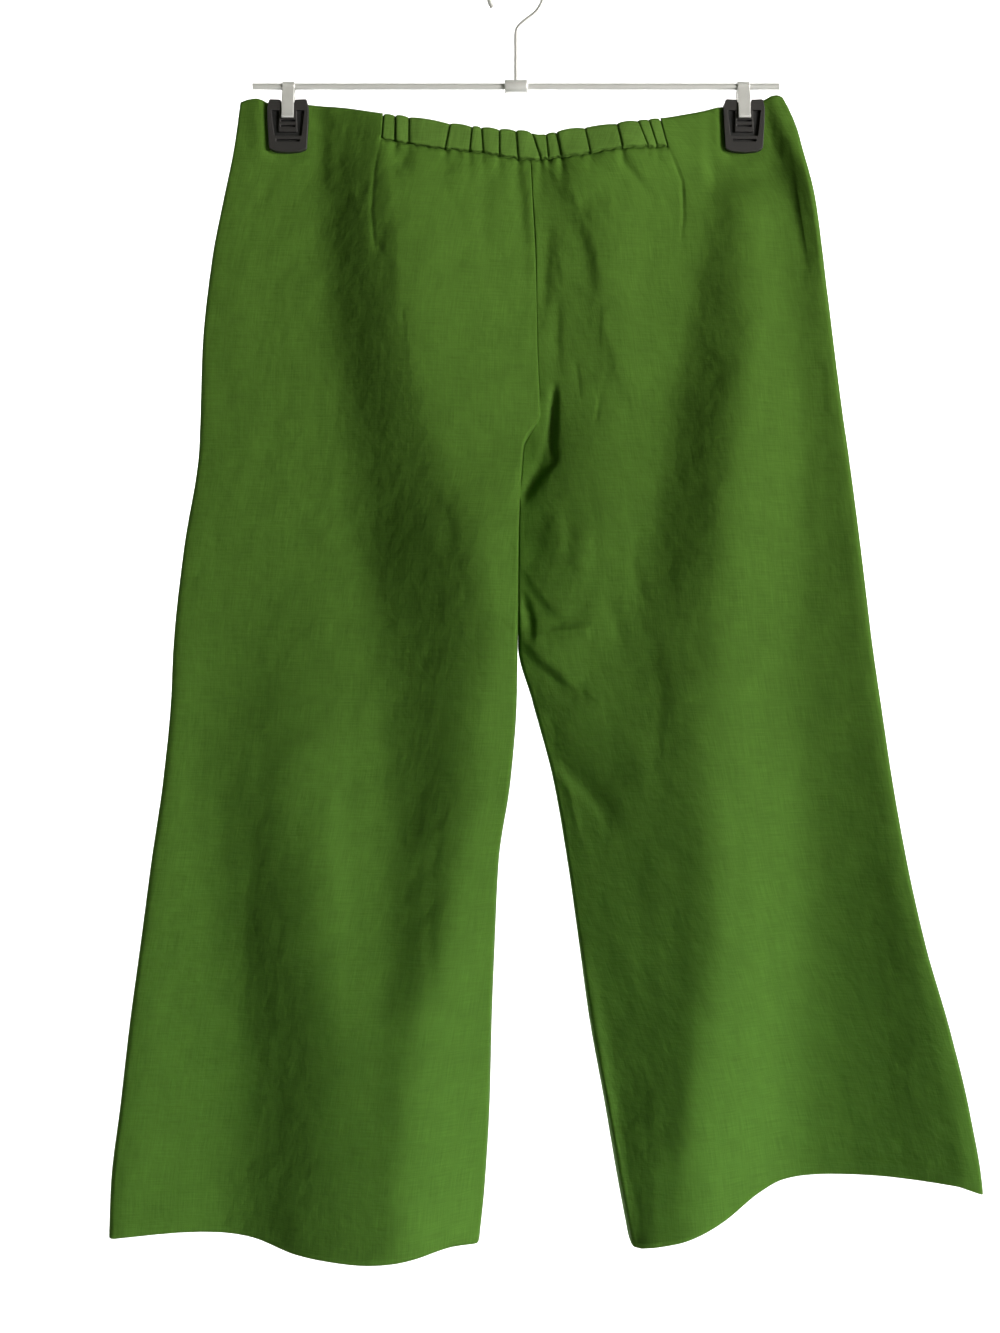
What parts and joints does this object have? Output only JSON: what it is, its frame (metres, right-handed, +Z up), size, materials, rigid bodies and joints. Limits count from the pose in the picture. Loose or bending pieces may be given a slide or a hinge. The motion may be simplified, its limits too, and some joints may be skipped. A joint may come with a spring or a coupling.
{
  "type": "kick flare trousers on a clip hanger",
  "caption": "Cropped kick flare linen trousers with an elasticated centre back waist, hung by the waist from a bar hanger with two clips.",
  "frame": {"origin": "inside top of the hanger's hook, where a rail carries it", "axes": "+Z up along the hook's stem, +X along the hanger bar to the wearer's right, -Y towards the viewer of the trousers' back"},
  "size_m": [0.6721, 0.0881, 0.9991],
  "materials": {
    "linen": "matte plain-weave linen",
    "black_plastic": "satin moulded",
    "steel": "bright plated"
  },
  "bodies": {
    "root": {"back_left": "linen", "back_right": "linen", "front_left": "linen", "front_right": "linen", "back_casing": "linen", "hanger_bar": "steel", "hanger_ferrule": "steel", "hanger_hook": "steel", "clip_left_jaw_back": "black_plastic", "clip_left_jaw_front": "black_plastic", "clip_left_spring": "steel", "clip_right_jaw_back": "black_plastic", "clip_right_jaw_front": "black_plastic", "clip_right_spring": "steel"}
  },
  "joints": []
}
